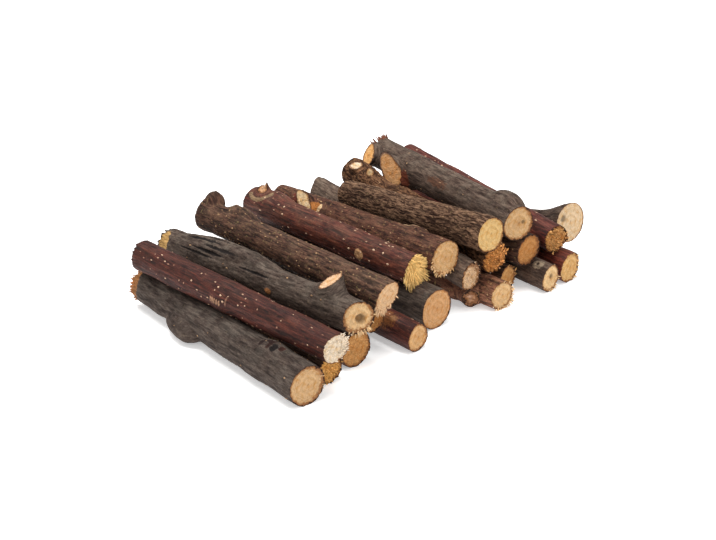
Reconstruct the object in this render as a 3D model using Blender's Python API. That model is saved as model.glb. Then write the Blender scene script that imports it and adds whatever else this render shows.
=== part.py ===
"""A bundle of cut twigs lying side by side, stacked two and three deep.

Metres, +Z up. The row of twigs runs along X, and the saw-cut ends that show best face -Y.
Every twig is one closed solid with its own knobs and pruned stubs, saw-cut flat at both ends.
Where each twig lies in plan is a driving dimension. How high it lies is worked out by laying
the twigs one after another, each at rest on the ground and on the twigs already there.
"""
import math

import bmesh
import bpy
import numpy as np
from mathutils import Matrix, Vector

MM = 0.001

# Driving dimensions that all the twigs share, in millimetres.
AIR_GAP = 0.3           # space kept between two barks that touch
SIDES_RESOLUTION = 5    # curve bevel resolution that gives a fourteen-sided twig
RINGS = 13              # cross sections along a twig
STATIONS = 61           # points along a twig where its height over the others is tested
END_SPARE = 6.0         # length that the saw cuts take off each end of the raw tube
STUB_SPARE = 2.5        # how many times its own height a stub stands before its cut
STUB_FLARE = 1.15       # how much wider a stub is at its root than at its top

# Bark colours, as screen colours, and how dull the bark is.
BARKS = {
    "grey_bark": ("#5B5148", 0.90),
    "red_bark": ("#4A2A26", 0.70),
    "brown_bark": ("#4F3A2E", 0.82),
    "ridged_bark": ("#6A5038", 0.95),
}


def knob(along, around, long, wide, high):
    """A rounded lump that the bark has grown over, on the side that `around` gives."""
    return {"kind": "knob", "along": along, "around": around, "long": long, "wide": wide, "high": high}


def stub(along, around, lean, wide, high, face_around, face_lean):
    """A side branch pruned off short, with an oblique cut that faces its own way."""
    return {"kind": "stub", "along": along, "around": around, "lean": lean, "wide": wide, "high": high,
            "face_around": face_around, "face_lean": face_lean}


def twig(name, bark, near, far, wide, bow=(0, 0), ends_up=(0, 0), swell=(), turn=(0, 0), tip=(0, 0), grown=()):
    """One twig's driving dimensions, in millimetres and degrees.

    near, far   where the middles of its two cut ends lie in plan, as (x, y)
    wide        its thickness at the near and at the far end
    bow         how far its middle bends aside and upwards from a straight line
    ends_up     the least height of the two end middles, where its neighbours wedge it
    swell       thicker stretches, each as (place from the near end, extra radius, reach)
    turn        how far each saw cut is turned from square, towards +X
    tip         how far each saw cut is tipped from square, the near one to look down at the ground
    grown       its knobs and stubs; `along` is from the near end, `around` is 0 on top and 90 on
                the +X side, and a lean is towards the near end
    """
    return {"name": name, "bark": bark, "near": near, "far": far, "wide": wide, "bow": bow,
            "ends_up": ends_up, "swell": swell, "turn": turn, "tip": tip, "grown": grown}


# The twigs in the order in which they are laid: the ground layer, the second layer, the top.
TWIGS = [
    twig("thick_grey_twig_front", "grey_bark", near=(-77.5, -45.5), far=(-64, 79.5), wide=(18.2, 15.8),
         ends_up=(9.1, 10.2), turn=(-3, 6),
         grown=[knob(along=83, around=-122, long=19, wide=9, high=4.2),
                knob(along=23, around=0, long=15, wide=11, high=1.2)]),
    twig("low_brown_twig_front", "brown_bark", near=(-57.5, -39), far=(-47, 83), wide=(13.4, 13), turn=(2, -4)),
    twig("low_brown_twig_second", "brown_bark", near=(-38.8, -36.5), far=(-31.5, 85.5), wide=(16.8, 15.6),
         turn=(0, 5)),
    twig("low_red_twig_middle", "red_bark", near=(-9.5, -46.5), far=(0, 75.5), wide=(13, 12.6), turn=(3, -5)),
    twig("low_grey_twig_middle", "grey_bark", near=(13.2, -37.6), far=(16.5, 86), wide=(19.2, 16.8),
         turn=(-2, 3)),
    twig("low_knobbed_twig", "brown_bark", near=(49.5, -47), far=(53, 75), wide=(14, 13), turn=(-8, 6),
         grown=[stub(along=23, around=-101, lean=32, wide=9.5, high=5.2, face_around=-84, face_lean=44)]),
    twig("low_brown_twig_third", "brown_bark", near=(66.5, -36.5), far=(68, 85.5), wide=(13.4, 12.4),
         turn=(5, -3)),
    twig("low_grey_twig_back", "grey_bark", near=(81, -51.5), far=(98, 69.5), wide=(13.4, 12.4), turn=(9, 4)),
    twig("low_red_twig_back", "red_bark", near=(96.5, -51.5), far=(112, 69.5), wide=(15, 13), turn=(9, -6)),
    twig("red_twig_front", "red_bark", near=(-63.5, -48.5), far=(-66, 77), wide=(13.4, 14.2),
         ends_up=(22.5, 26), swell=[(66, 0.5, 6)], turn=(-10, 5), tip=(2, 0)),
    twig("grey_twig_with_stub", "grey_bark", near=(-40, -39), far=(-41.5, 86), wide=(14.6, 14),
         ends_up=(24, 22.4), swell=[(20, 0.6, 8)], turn=(-22, -8), tip=(-3, 0),
         grown=[stub(along=18, around=4, lean=2, wide=10, high=4.2, face_around=-22, face_lean=-20),
                knob(along=17, around=-8, long=26, wide=13, high=1.2)]),
    twig("tucked_brown_twig", "brown_bark", near=(-22.5, -31.5), far=(-2, 80.5), wide=(12.6, 12),
         ends_up=(15.5, 19), turn=(4, 0)),
    twig("smooth_grey_twig", "grey_bark", near=(37.5, -37.5), far=(58, 84.5), wide=(13.8, 13),
         ends_up=(17.4, 20.2), turn=(9, 10)),
    twig("red_twig_middle", "red_bark", near=(11, -25.5), far=(16, 88.5), wide=(14.4, 14.8), ends_up=(26, 26.2),
         swell=[(106, 0.4, 8)], turn=(5, -4),
         grown=[stub(along=107, around=8, lean=-4, wide=7, high=0.9, face_around=4, face_lean=0),
                knob(along=97, around=30, long=18, wide=8, high=1.6)]),
    twig("oval_cut_twig", "brown_bark", near=(75.5, -41.5), far=(82, 80), wide=(16, 14), ends_up=(19, 7),
         turn=(-4, 4), tip=(9, 0)),
    twig("crooked_twig_back", "grey_bark", near=(116, -36), far=(128.5, 76), wide=(12, 15), bow=(0, -6),
         ends_up=(21.5, 7), swell=[(0, 4.5, 12)], turn=(-2, 0)),
    twig("red_twig_back", "red_bark", near=(93.5, -44), far=(123.5, 81), wide=(13.6, 13.4), ends_up=(19.8, 23.9),
         turn=(0, 6)),
    twig("gnarled_twig", "ridged_bark", near=(55.5, -36.5), far=(79, 79), wide=(15, 14), ends_up=(21.5, 26),
         swell=[(121, 0.8, 9)], turn=(3, -6),
         grown=[stub(along=110, around=-28, lean=-8, wide=6.4, high=1.3, face_around=-12, face_lean=4),
                stub(along=101, around=-22, lean=8, wide=4.6, high=1.0, face_around=-40, face_lean=30)]),
    twig("brown_twig_with_stub", "brown_bark", near=(26.8, -30.3), far=(32.5, 87), wide=(17, 13.6),
         ends_up=(28, 24), turn=(-7, 8),
         grown=[stub(along=92, around=-42, lean=-6, wide=10.5, high=1.6, face_around=-78, face_lean=-12),
                knob(along=21, around=31, long=10, wide=8, high=1.6)]),
    twig("hooked_brown_twig", "brown_bark", near=(-23.5, -40.3), far=(-19, 85.5), wide=(15.2, 14.4),
         ends_up=(28.8, 31), swell=[(126, 0.8, 6)], turn=(4, 6), tip=(13, 0),
         grown=[knob(along=122, around=22, long=7, wide=8, high=3.2),
                knob(along=102, around=34, long=20, wide=11, high=3.0)]),
    twig("thick_grey_twig_top", "grey_bark", near=(69, -39.6), far=(101.5, 80), wide=(16.6, 17.2),
         ends_up=(33.2, 31.5), turn=(-4, 12),
         grown=[knob(along=13, around=30, long=19, wide=12, high=4.0),
                stub(along=109, around=-78, lean=44, wide=13, high=5.0, face_around=-70, face_lean=8),
                stub(along=117, around=-72, lean=-12, wide=9, high=3.6, face_around=-66, face_lean=-24)]),
    twig("ridged_twig_top", "ridged_bark", near=(45.3, -42), far=(46.3, 52.5), wide=(16.4, 12.4),
         ends_up=(38.2, 31), turn=(-9, -5)),
]


def linear_colour(screen_hex):
    """A screen colour such as #5B5148 as the linear colour that a shader takes."""
    parts = [int(screen_hex[place:place + 2], 16) / 255 for place in (1, 3, 5)]
    return [part / 12.92 if part <= 0.04045 else ((part + 0.055) / 1.055) ** 2.4 for part in parts] + [1.0]


def clear_scene():
    for old in list(bpy.data.objects):
        bpy.data.objects.remove(old, do_unlink=True)


def new_collection(name):
    collection = bpy.data.collections.new(name)
    bpy.context.scene.collection.children.link(collection)
    return collection


def bark_material(twig_name, bark):
    screen_hex, roughness = BARKS[bark]
    material = bpy.data.materials.new(twig_name)
    material.use_nodes = True
    shader = material.node_tree.nodes["Principled BSDF"]
    shader.inputs["Base Color"].default_value = linear_colour(screen_hex)
    shader.inputs["Roughness"].default_value = roughness
    shader.inputs["Metallic"].default_value = 0.0
    return material


def centre_line_in_plan(spec, share):
    """Plan positions and upward bend at the given shares of the way from near to far end."""
    near = np.array(spec["near"], float)
    run = np.array(spec["far"], float) - near
    run_length = math.hypot(*run)
    sideways = np.array([run[1], -run[0]]) / run_length
    arch = 4 * share * (1 - share)
    plan = near + share[:, None] * run + (arch * spec["bow"][0])[:, None] * sideways
    return plan, arch * spec["bow"][1], run_length


def radius_along(spec, share, run_length):
    near_wide, far_wide = spec["wide"]
    radius = (near_wide + (far_wide - near_wide) * share) / 2
    for place, extra, reach in spec["swell"]:
        radius = radius + extra * np.exp(-((share * run_length - place) / reach) ** 2)
    return radius


def resting_line(offsets, needed):
    """The straight line that lies on the highest pair of touches either side of the middle."""
    before = offsets < 0
    after = offsets > 0
    low, high = offsets[before], offsets[after]
    low_need, high_need = needed[before], needed[after]
    middle_height = (low_need[:, None] * high - high_need * low[:, None]) / (high - low[:, None])
    first, second = np.unravel_index(middle_height.argmax(), middle_height.shape)
    slope = (high_need[second] - low_need[first]) / (high[second] - low[first])
    return low_need[first] + (offsets - low[first]) * slope


def lay(spec, laid):
    """Let one twig down onto the ground and onto the twigs already laid."""
    share = np.linspace(0, 1, STATIONS)
    plan, rise, run_length = centre_line_in_plan(spec, share)
    radius = radius_along(spec, share, run_length)
    needed = radius.copy()
    for other in laid:
        apart = np.linalg.norm(plan[:, None] - other["plan"], axis=2)
        reach = radius[:, None] + other["radius"] + AIR_GAP
        over = other["height"] + np.sqrt(np.maximum(reach ** 2 - apart ** 2, 0))
        needed = np.maximum(needed, np.where(apart < reach, over, 0).max(axis=1))
    needed = needed - rise
    needed[0] = max(needed[0], spec["ends_up"][0])
    needed[-1] = max(needed[-1], spec["ends_up"][1])
    line = resting_line((share - 0.5) * run_length, needed)
    line = line + max(0, (needed - line).max())
    return {"spec": spec, "plan": plan, "height": line + rise, "radius": radius}


def frames_along(points):
    """The mean direction of a twig, its sideways direction and its upward direction."""
    forward = Vector(points[-1] - points[0]).normalized()
    aside = forward.cross(Vector((0, 0, 1))).normalized()
    return forward, aside, aside.cross(forward)


def outward(axes, around, lean):
    """A direction away from the twig's middle, turned by `around` and leaning to the near end."""
    forward, aside, above = axes
    turned = above * math.cos(math.radians(around)) + aside * math.sin(math.radians(around))
    return turned * math.cos(math.radians(lean)) - forward * math.sin(math.radians(lean))


def raw_tube(name, points, radius):
    """A closed tube along the points, as a mesh, from a curve with a round bevel."""
    curve = bpy.data.curves.new(name, "CURVE")
    curve.dimensions = "3D"
    curve.bevel_depth = MM
    curve.bevel_resolution = SIDES_RESOLUTION
    curve.use_fill_caps = True
    spline = curve.splines.new("POLY")
    spline.points.add(len(points) - 1)
    for place, (point, wide) in enumerate(zip(points, radius)):
        spline.points[place].co = (*(point * MM), 1)
        spline.points[place].radius = wide
    carrier = bpy.data.objects.new(name, curve)
    bpy.context.scene.collection.objects.link(carrier)
    seen = carrier.evaluated_get(bpy.context.evaluated_depsgraph_get())
    mesh = bpy.data.meshes.new_from_object(seen)
    bpy.data.objects.remove(carrier, do_unlink=True)
    bpy.data.curves.remove(curve)
    welded = bmesh.new()
    welded.from_mesh(mesh)
    bmesh.ops.remove_doubles(welded, verts=welded.verts, dist=0.00001)
    welded.to_mesh(mesh)
    welded.free()
    return mesh


def saw_flat(solid, point, normal):
    """Cut everything beyond a plane away and close the cut with one flat face."""
    parts = list(solid.verts) + list(solid.edges) + list(solid.faces)
    cut = bmesh.ops.bisect_plane(solid, geom=parts, plane_co=point, plane_no=normal, clear_outer=True)
    rim = [part for part in cut["geom_cut"] if isinstance(part, bmesh.types.BMEdge)]
    bmesh.ops.holes_fill(solid, edges=rim, sides=0)


def knob_mesh(growth, root, direction, axes, radius):
    """An ellipsoid sunk into the bark, with only its crown standing out."""
    solid = bmesh.new()
    bmesh.ops.create_uvsphere(solid, u_segments=8, v_segments=6, radius=1)
    forward = axes[0]
    across = direction.cross(forward).normalized()
    sunk = growth["wide"] / 2
    crown = radius + growth["high"]
    centre = root + direction * ((crown - sunk) * MM)
    scale = Matrix.Diagonal((growth["wide"] / 2 * MM, growth["long"] / 2 * MM, sunk * MM, 1))
    turn = Matrix((across, across.cross(direction) * -1, direction)).transposed().to_4x4()
    bmesh.ops.transform(solid, matrix=Matrix.Translation(centre) @ turn @ scale, verts=solid.verts)
    return solid


def stub_mesh(growth, root, direction, axes, radius):
    """A short cone out of the twig's middle, sawn off by its oblique cut."""
    solid = bmesh.new()
    height = (radius + growth["high"] * STUB_SPARE) * MM
    top = growth["wide"] / 2 * MM
    bmesh.ops.create_cone(solid, cap_ends=True, segments=10, radius1=top * STUB_FLARE, radius2=top, depth=height)
    stand = Vector((0, 0, 1)).rotation_difference(direction).to_matrix().to_4x4()
    move = Matrix.Translation(root + direction * (height / 2))
    bmesh.ops.transform(solid, matrix=move @ stand, verts=solid.verts)
    cut_point = root + direction * ((radius + growth["high"]) * MM)
    saw_flat(solid, cut_point, outward(axes, growth["face_around"], growth["face_lean"]))
    return solid


def fuse_growths(body, twig_data, points, axes, cutters):
    """Join a twig's knobs and stubs to it with a boolean union, one after another."""
    spec = twig_data["spec"]
    steps = np.linalg.norm(np.diff(points, axis=0), axis=1)
    reached = np.concatenate([[0], np.cumsum(steps)])
    for number, growth in enumerate(spec["grown"]):
        root = Vector([np.interp(growth["along"], reached, points[:, axis]) for axis in range(3)]) * MM
        radius = float(np.interp(growth["along"], reached, twig_data["radius"]))
        direction = outward(axes, growth["around"], growth.get("lean", 0))
        make = knob_mesh if growth["kind"] == "knob" else stub_mesh
        solid = make(growth, root, direction, axes, radius)
        mesh = bpy.data.meshes.new(f"{spec['name']}_{growth['kind']}_{number}")
        bmesh.ops.recalc_face_normals(solid, faces=solid.faces)
        solid.to_mesh(mesh)
        solid.free()
        cutter = bpy.data.objects.new(mesh.name, mesh)
        cutter.display_type = "WIRE"
        cutter.hide_render = True
        cutters.objects.link(cutter)
        union = body.modifiers.new(growth["kind"], "BOOLEAN")
        union.operation = "UNION"
        union.solver = "EXACT"
        union.object = cutter


def build_twig(twig_data, parts, cutters):
    spec = twig_data["spec"]
    points = np.column_stack([twig_data["plan"], twig_data["height"]])
    axes = frames_along(points)
    forward = np.array(axes[0])
    every = np.linspace(0, STATIONS - 1, RINGS).round().astype(int)
    ring_points = [points[place] for place in every]
    ring_radius = [float(twig_data["radius"][place]) for place in every]
    ring_points[0] = ring_points[0] - forward * END_SPARE
    ring_points[-1] = ring_points[-1] + forward * END_SPARE
    mesh = raw_tube(spec["name"], ring_points, ring_radius)
    solid = bmesh.new()
    solid.from_mesh(mesh)
    for end, way, turn, tip in zip((points[0], points[-1]), (-1, 1), spec["turn"], spec["tip"]):
        tipped = Matrix.Rotation(math.radians(tip), 3, axes[1]) @ axes[0]
        normal = Matrix.Rotation(math.radians(turn), 3, axes[2]) @ tipped
        saw_flat(solid, Vector(end) * MM, normal * way)
    bmesh.ops.recalc_face_normals(solid, faces=solid.faces)
    solid.to_mesh(mesh)
    solid.free()
    body = bpy.data.objects.new(spec["name"], mesh)
    parts.objects.link(body)
    body.data.materials.append(bark_material(spec["name"], spec["bark"]))
    fuse_growths(body, twig_data, points, axes, cutters)
    return body


def shade_round(body):
    """Smooth the bark and keep the rims of the saw cuts sharp."""
    body.data.shade_smooth()
    body.data.set_sharp_from_angle(angle=math.radians(45))


def centre_pile(bodies):
    """How far the whole pile moves to bring the origin to the bottom middle of its box."""
    bpy.context.view_layer.update()
    seen = bpy.context.evaluated_depsgraph_get()
    corners = []
    for body in bodies:
        corners += [body.matrix_world @ vertex.co for vertex in body.evaluated_get(seen).data.vertices]
    lowest = [min(corner[axis] for corner in corners) for axis in range(3)]
    highest = [max(corner[axis] for corner in corners) for axis in range(3)]
    middle = Vector(((lowest[0] + highest[0]) / 2, (lowest[1] + highest[1]) / 2, lowest[2]))
    return -middle


clear_scene()
parts = new_collection("bundle_of_twigs")
cutters = new_collection("cutters")
pile = []
for spec in TWIGS:
    pile.append(lay(spec, pile))
bodies = [build_twig(twig_data, parts, cutters) for twig_data in pile]
shift = centre_pile(bodies)
for moved in list(parts.objects) + list(cutters.objects):
    moved.location = shift
for body in bodies:
    shade_round(body)
bpy.context.view_layer.update()
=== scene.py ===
"""A bundle of cut fruitwood twigs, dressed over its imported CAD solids, in metres with +Z up."""
import math

import bpy
import numpy as np
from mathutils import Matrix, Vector


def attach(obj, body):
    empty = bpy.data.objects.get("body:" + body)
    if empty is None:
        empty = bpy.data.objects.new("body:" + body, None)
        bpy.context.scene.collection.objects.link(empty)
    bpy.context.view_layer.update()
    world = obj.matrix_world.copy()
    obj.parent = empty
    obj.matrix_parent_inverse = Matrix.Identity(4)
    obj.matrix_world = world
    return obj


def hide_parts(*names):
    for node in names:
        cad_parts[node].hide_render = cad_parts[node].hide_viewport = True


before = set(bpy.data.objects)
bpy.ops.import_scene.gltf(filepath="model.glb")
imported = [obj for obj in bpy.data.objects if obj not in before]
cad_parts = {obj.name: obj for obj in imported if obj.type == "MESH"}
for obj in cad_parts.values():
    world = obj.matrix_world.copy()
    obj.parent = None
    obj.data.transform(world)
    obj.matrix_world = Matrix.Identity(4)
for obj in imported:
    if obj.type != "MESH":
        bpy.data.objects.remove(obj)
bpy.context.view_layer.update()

MM = 0.001


# The studio. The bundle lies on a plain white sheet under a soft box overhead and two weaker ones,
# and is seen from in front of its left end, 25 degrees over the ground and 0.7 m away.
VIEW_HEIGHT_DEG = 25.0
VIEW_ROUND_DEG = -46.0
VIEW_DISTANCE = 0.700
VIEW_MIDDLE = Vector((-0.02472, -0.01882, 0.02187))
SENSOR_MM = 36.0
PIXELS_WIDE = 716
LENS_PIXELS = 1500


def linear(screen_hex):
    """A screen colour such as #5B5148 as the linear colour that a shader takes."""
    parts = [int(screen_hex[place:place + 2], 16) / 255 for place in (1, 3, 5)]
    return [part / 12.92 if part <= 0.04045 else ((part + 0.055) / 1.055) ** 2.4 for part in parts] + [1.0]


def add(tree, kind, inputs=None, out=0, **settings):
    """Add one node with its settings, link or set its inputs, and give back one of its outputs."""
    node = tree.nodes.new(kind)
    for setting, value in settings.items():
        setattr(node, setting, value)
    for socket, value in (inputs or {}).items():
        if isinstance(value, bpy.types.NodeSocket):
            tree.links.new(value, node.inputs[socket])
        else:
            node.inputs[socket].default_value = value
    return node.outputs[out] if len(node.outputs) else node


def new_material(name, roughness, specular=0.5):
    """An empty material with its plain shader, and the tree that the pattern goes into."""
    material = bpy.data.materials.new(name)
    material.use_nodes = True
    shader = material.node_tree.nodes["Principled BSDF"]
    shader.inputs["Roughness"].default_value = roughness
    shader.inputs["Specular IOR Level"].default_value = specular
    return material, material.node_tree, shader


view_height = math.radians(VIEW_HEIGHT_DEG)
view_round = math.radians(VIEW_ROUND_DEG)
look = Vector((-math.sin(view_round) * math.cos(view_height), math.cos(view_round) * math.cos(view_height),
               -math.sin(view_height)))
camera_data = bpy.data.cameras.new("photo_camera")
camera_data.sensor_width = SENSOR_MM
camera_data.lens = SENSOR_MM * LENS_PIXELS / PIXELS_WIDE
camera_data.clip_start = 0.01
camera = bpy.data.objects.new("photo_camera", camera_data)
camera.location = VIEW_MIDDLE - look * VIEW_DISTANCE
camera.rotation_euler = look.to_track_quat("-Z", "Y").to_euler()
bpy.context.scene.collection.objects.link(camera)
bpy.context.scene.camera = camera
bpy.context.scene.view_settings.view_transform = "Standard"

# The sheet is matt white paper on a light table, which takes away nearly all of the bundle's shadow.
LIGHT_TABLE = 0.38
FLOOR_HALF = 6.0
paper, paper_tree, paper_shader = new_material("matt_white_paper", roughness=0.95, specular=0.1)
paper_tone = add(paper_tree, "ShaderNodeTexNoise", {"Scale": 40.0, "Detail": 3.0})
paper_colour = add(paper_tree, "ShaderNodeMix", {0: paper_tone, 6: linear("#F4F3F2"), 7: linear("#F8F8F7")},
                   out=2, data_type="RGBA")
paper_tree.links.new(paper_colour, paper_shader.inputs["Base Color"])
paper_shader.inputs["Emission Color"].default_value = (1.0, 1.0, 1.0, 1.0)
paper_shader.inputs["Emission Strength"].default_value = LIGHT_TABLE
floor_mesh = bpy.data.meshes.new("white_sheet")
floor_corners = [(-FLOOR_HALF, -FLOOR_HALF, 0), (FLOOR_HALF, -FLOOR_HALF, 0), (FLOOR_HALF, FLOOR_HALF, 0),
                 (-FLOOR_HALF, FLOOR_HALF, 0)]
floor_mesh.from_pydata(floor_corners, [], [(0, 1, 2, 3)])
floor_mesh.materials.append(paper)
floor = bpy.data.objects.new("white_sheet", floor_mesh)
bpy.context.scene.collection.objects.link(floor)


def soft_light(name, place, size, watts):
    """A square soft box that shines at the middle of the bundle."""
    data = bpy.data.lights.new(name, "AREA")
    data.size = size
    data.energy = watts
    light = bpy.data.objects.new(name, data)
    light.location = place
    light.rotation_euler = (VIEW_MIDDLE - Vector(place)).to_track_quat("-Z", "Y").to_euler()
    bpy.context.scene.collection.objects.link(light)


soft_light("overhead_soft_box", place=(-0.10, 0.20, 1.3), size=0.8, watts=19.0)
soft_light("front_soft_box", place=(0.45, -1.15, 0.55), size=0.7, watts=7.6)
soft_light("left_soft_box", place=(-1.15, -0.25, 0.75), size=0.7, watts=3.0)
world = bpy.data.worlds.new("bright_studio")
world.use_nodes = True
world.node_tree.nodes["Background"].inputs["Color"].default_value = (1.0, 1.0, 1.0, 1.0)
world.node_tree.nodes["Background"].inputs["Strength"].default_value = 0.55
bpy.context.scene.world = world


# The red twigs: young shoots about 14 mm thick with thin smooth maroon bark, dotted with pale pores.
# They were sawn to 12 cm, which left pale end grain with a thin brown rim of bark and some torn fibre.
# A twig is grown round its CAD solid's own middle line, from one saw cut to the other.
CAD_POLYGON_SHARE = 7 * math.sin(math.radians(360 / 14))   # area of a 14-sided cut over its radius squared
# Points round and along the bark: fine where it is seen whole, fewer where other twigs lie over it.
FINE = {"sides": 100, "rings": 256}
PLAIN = {"sides": 76, "rings": 180}
HIDDEN = {"sides": 64, "rings": 120}
# The rows of points on a saw cut, from its rim inwards, as shares of its radius.
CUT_RINGS = (1.0, 0.985, 0.955, 0.915, 0.86, 0.79, 0.71, 0.63, 0.55, 0.47, 0.39, 0.31, 0.23, 0.12)


def read(items, name, width):
    """One property of every item of a mesh, as an array."""
    found = np.empty(len(items) * width)
    items.foreach_get(name, found)
    return found.reshape(-1, width) if width > 1 else found


def find_cuts(node):
    """Middle, outward direction and radius, in millimetres, of a CAD twig's near and far saw cut."""
    normals = read(node.data.polygons, "normal", 3)
    centres = read(node.data.polygons, "center", 3) / MM
    areas = read(node.data.polygons, "area", 1) / MM ** 2
    cuts = []
    for way in (-1, 1):
        likely = np.flatnonzero(normals[:, 1] * way > 0.8)
        alike = normals[likely] @ normals[likely].T > 0.9999
        flat = likely[alike[(alike @ areas[likely]).argmax()]]
        area = areas[flat].sum()
        middle = (centres[flat] * areas[flat, None]).sum(axis=0) / area
        cuts.append((middle, normals[flat[0]], area))
    run = cuts[1][0] - cuts[0][0]
    run = run / np.linalg.norm(run)
    return [(middle, way, math.sqrt(area * abs(way @ run) / CAD_POLYGON_SHARE)) for middle, way, area in cuts]


def mark(along, around, long, wide, high=0.0, edge=1.5, colour=None, amount=1.0):
    """One place on the bark, in millimetres and degrees, that stands out, is sunk, or has its own colour."""
    return {"along": along, "around": around, "long": long, "wide": wide, "high": high, "edge": edge,
            "colour": colour, "amount": amount}


def cut(tint="#D2AC78", heart=0.2, pith=(0.3, 0.4), torn=0.08, ragged=0.1, coarse=0.4, hole=None, rim=1.0,
        fray=0.0, fray_around=120, fray_spread=55, fray_from=0.86, fray_long=1.3, fray_fan=0.8,
        fray_off=0.25):
    """How a saw cut looks: its wood's colour, how rough and ragged the saw left it, a hole in it as
    (aside, above, radius, depth), how wide its brown rim is, and how it is frayed: how much, on which
    side, and from how far out."""
    return {"tint": tint, "heart": heart, "pith": pith, "torn": torn, "ragged": ragged, "coarse": coarse,
            "hole": hole, "rim": rim, "fray": fray, "fray_around": fray_around, "fray_spread": fray_spread,
            "fray_from": fray_from, "fray_long": fray_long, "fray_fan": fray_fan, "fray_off": fray_off}


def waves(chance, count, size, along, around, shortest, longest):
    """A soft random swelling over the length and round of a twig, closed all the way round."""
    total = np.zeros(np.broadcast(along, around).shape)
    for _ in range(count):
        turns = chance.integers(0, 5)
        length = chance.uniform(shortest, longest)
        total = total + np.cos(turns * around + along * (2 * math.pi / length) + chance.uniform(0, 6.28))
    return total * size / math.sqrt(count)


def bell(distance_squared, edge):
    return np.maximum(1 - distance_squared, 0) ** edge


def reach_of(place, along, around, radius):
    """How far each point is from a mark's middle, squared, with 1 at the mark's edge."""
    turn = (around - math.radians(place["around"]) + math.pi) % (2 * math.pi) - math.pi
    return ((along - place["along"]) / (place["long"] / 2)) ** 2 + (turn * radius / (place["wide"] / 2)) ** 2


class Twig:
    """The middle line and the bark surface of one twig, in millimetres."""

    def __init__(self, name, seed, swell, bow, oval, marks, uneven):
        near_cut, far_cut = find_cuts(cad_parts[name])
        self.near, self.near_way, near_radius = near_cut
        self.far, self.far_way, far_radius = far_cut
        run = self.far - self.near
        self.length = float(np.linalg.norm(run))
        self.forward = run / self.length
        self.aside = np.cross(self.forward, (0, 0, 1))
        self.aside /= np.linalg.norm(self.aside)
        self.above = np.cross(self.aside, self.forward)
        self.bow, self.oval, self.marks, self.swell = bow, oval, marks, swell
        self.seed, self.uneven = seed, uneven
        self.ends = (near_radius - self.swelling(0.0), far_radius - self.swelling(self.length))

    def swelling(self, along):
        return sum(extra * np.exp(-((along - place) / reach) ** 2) for place, extra, reach in self.swell)

    def plain_radius(self, along):
        share = along / self.length
        return self.ends[0] + (self.ends[1] - self.ends[0]) * share + self.swelling(along)

    def radius(self, along, around):
        chance = np.random.default_rng(self.seed)
        plain = self.plain_radius(along)
        share, turned = self.oval
        found = plain * (1 + share * np.cos(2 * (around - math.radians(turned))))
        found = found + waves(chance, 14, self.uneven, along, around, 14, 70)
        for place in self.marks:
            found = found + place["high"] * bell(reach_of(place, along, around, plain), place["edge"])
        return found

    def middle(self, along):
        share = np.asarray(along)[..., None] / self.length
        arch = 4 * share * (1 - share)
        return self.near + self.forward * np.asarray(along)[..., None] + arch * (
            self.aside * self.bow[0] + self.above * self.bow[1])

    def outward(self, around, lean=0.0):
        turned = self.above * np.cos(around)[..., None] + self.aside * np.sin(around)[..., None]
        return turned * math.cos(lean) - self.forward * math.sin(lean)

    def on_bark(self, along, around, sunk=0.0):
        return self.middle(along) + self.outward(around) * (self.radius(along, around) - sunk)[..., None]

    def locate(self, points):
        """How far along and at what angle round the twig each point is."""
        along = (points - self.near) @ self.forward
        off = points - self.middle(along)
        return along, np.arctan2(off @ self.aside, off @ self.above)


def grid_faces(rows, sides, first=0, outward=True):
    """Four-sided faces between closed rings of points, wound so that they face outwards."""
    here = first + np.arange(rows - 1)[:, None] * sides + np.arange(sides)
    beside = first + np.arange(rows - 1)[:, None] * sides + (np.arange(sides) + 1) % sides
    order = (here, beside, beside + sides, here + sides) if outward else (beside, here, here + sides, beside
                                                                          + sides)
    return np.stack(order, axis=-1).reshape(-1, 4)


def cut_points(rim, middle, way, looks, chance, turned, across, up):
    """The points inside one saw cut, from just inside its rim to its pith, and how they are coloured."""
    sides = len(rim)
    shares = np.array(CUT_RINGS[1:])[:, None, None]
    places = middle + (rim - middle) * shares
    depth = np.linalg.norm(rim - middle, axis=1)
    angle = turned[None, :]
    share = shares[..., 0]
    rough = waves(chance, 10, 0.09, share * 9, angle, 3, 11)
    rough = rough + looks["torn"] * chance.normal(0, 1, (len(shares), sides)) * np.minimum(share * 2, 1)
    rough = rough - 0.12 * np.exp(-((share - 0.93) / 0.03) ** 2)
    places = places + way * rough[..., None]
    places = np.concatenate([places.reshape(-1, 3), [middle]])
    flat = places - middle
    grain = np.column_stack([flat @ across, flat @ up, np.zeros(len(flat))])
    edge = np.concatenate([((1 - share) * depth).ravel(), [depth.mean()]])
    shade = np.ones(len(flat))
    if looks["hole"]:
        aside, above, radius, deep = looks["hole"]
        off = np.hypot(grain[:, 0] + looks["pith"][0] - aside, grain[:, 1] + looks["pith"][1]
                       - above) / radius
        sunk = np.clip(1.25 - off, 0, 0.5) * 2
        places = places - way * (deep * sunk)[:, None]
        shade = 1 - 0.58 * sunk
    cut_look = np.column_stack([np.full(len(flat), looks["heart"]), np.full(len(flat), looks["coarse"]),
                                shade])
    return places, grain, edge, cut_look


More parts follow.
